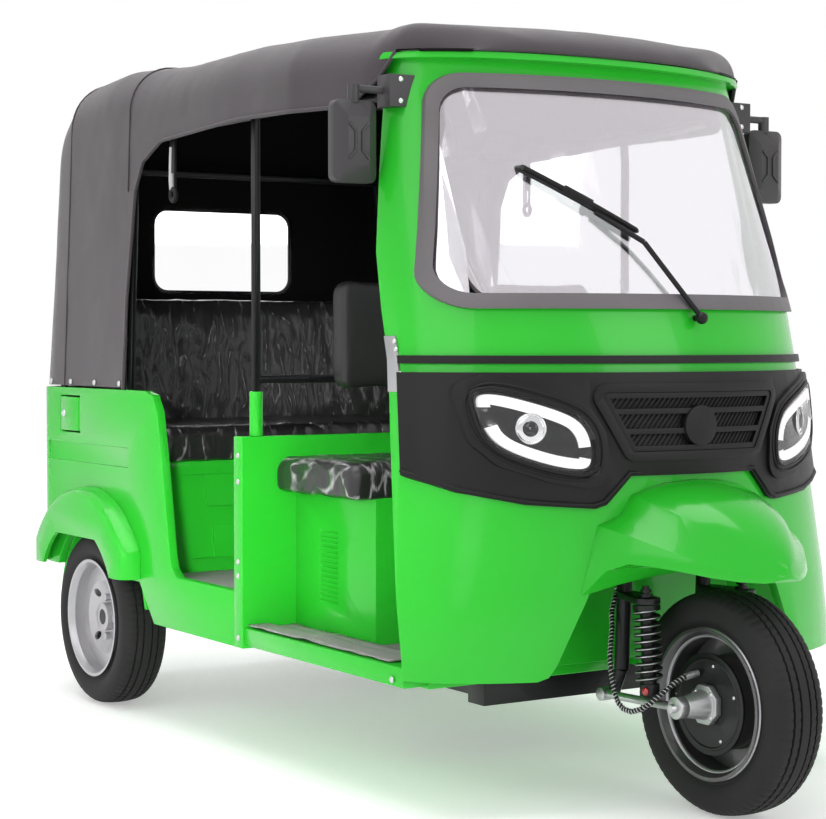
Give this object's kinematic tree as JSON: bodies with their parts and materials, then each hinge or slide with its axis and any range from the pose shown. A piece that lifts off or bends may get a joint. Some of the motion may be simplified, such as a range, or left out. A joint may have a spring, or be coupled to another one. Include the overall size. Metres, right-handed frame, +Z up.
{
  "type": "three-wheeled passenger taxi",
  "caption": "Three-wheeled passenger taxi: green cab with wrap-round windscreen, steered front wheel, open doorways and a fabric hood over a rear bench.",
  "frame": {"origin": "centre of the bounding box's base, on the ground", "axes": "+X forward, +Y to the driver's left, +Z up"},
  "size_m": [2.672, 1.38, 1.827],
  "materials": {
    "green_paint": "gloss",
    "black_steel": "satin",
    "black_plastic": "grained",
    "rubber_trim": "matt",
    "clear_glass": "clear",
    "mirror_face": "polished",
    "seat_vinyl": "grained, film covered",
    "canopy_vinyl": "coated cloth",
    "red_lens": "gloss",
    "bare_steel": "satin silver",
    "tyre_rubber": "matt",
    "cast_alloy": "cast"
  },
  "bodies": {
    "body": {"frame": "black_steel", "floor_pan": "green_paint", "floor_mats": "rubber_trim", "sills": "green_paint", "cowl": "green_paint", "wheelhouse": "green_paint", "nose_mask": "black_plastic", "grille": "black_plastic", "headlamp_housings": "black_plastic", "headlamp_lenses": "clear_glass", "windscreen": "clear_glass", "screen_gasket": "rubber_trim", "belt_strip": "black_plastic", "hinge_plates": "bare_steel", "front_fender": "green_paint", "wiper": "black_plastic", "mirror_heads": "black_plastic", "mirror_glass": "mirror_face", "dashboard": "black_plastic", "bulkhead": "green_paint", "driver_seat_base": "green_paint", "engine_block": "black_steel", "driver_cushion": "seat_vinyl", "driver_backrest": "seat_vinyl", "posts": "green_paint", "canopy_frame": "black_steel", "quarter_right": "green_paint", "quarter_left": "green_paint", "rear_arches": "green_paint", "wheel_tubs": "green_paint", "tail_panel": "green_paint", "tail_lamps": "red_lens", "rear_seat_base": "green_paint", "rear_cushion": "seat_vinyl", "rear_backrest": "seat_vinyl", "canopy": "canopy_vinyl", "rear_window": "clear_glass", "hand_straps": "black_plastic", "rear_axle": "black_steel", "leaf_springs": "black_steel", "prop_shaft": "bare_steel"},
    "steering": {"fork": "black_steel", "link_arms": "bare_steel", "front_shocks": "black_steel", "handlebar": "black_steel", "brake_hose": "rubber_trim", "brake_anchor": "cast_alloy", "brake_plate": "black_steel", "hand_controls": "black_plastic"},
    "front_wheel": {"front_tyre": "tyre_rubber", "front_rim": "bare_steel"},
    "rear_wheel_right": {"rear_tyre_right": "tyre_rubber", "rear_rim_right": "bare_steel"},
    "rear_wheel_left": {"rear_tyre_left": "tyre_rubber", "rear_rim_left": "bare_steel"},
    "tail_door": {"tail_door": "green_paint"},
    "service_flap": {"service_flap": "green_paint"}
  },
  "joints": [
    {"name": "steering", "type": "hinge", "parent": "body", "child": "steering", "pos_m": [1.139, 0, 0], "axis": [-0.4115, 0, 0.9114], "range_deg": [-40, 40]},
    {"name": "front_wheel_spin", "type": "hinge", "parent": "steering", "child": "front_wheel", "pos_m": [1.089, 0, 0.247], "axis": [0, 1, 0], "continuous": true},
    {"name": "rear_wheel_right_spin", "type": "hinge", "parent": "body", "child": "rear_wheel_right", "pos_m": [-0.911, -0.575, 0.247], "axis": [0, 1, 0], "continuous": true},
    {"name": "rear_wheel_left_spin", "type": "hinge", "parent": "body", "child": "rear_wheel_left", "pos_m": [-0.911, 0.575, 0.247], "axis": [0, 1, 0], "continuous": true},
    {"name": "tail_door_hinge", "type": "hinge", "parent": "body", "child": "tail_door", "pos_m": [-1.32, 0, 0.815], "axis": [0, 1, 0], "range_deg": [0, 85]},
    {"name": "service_flap_hinge", "type": "hinge", "parent": "body", "child": "service_flap", "pos_m": [-1.007, -0.628, 0.828], "axis": [0, 0, 1], "range_deg": [0, 110]}
  ]
}
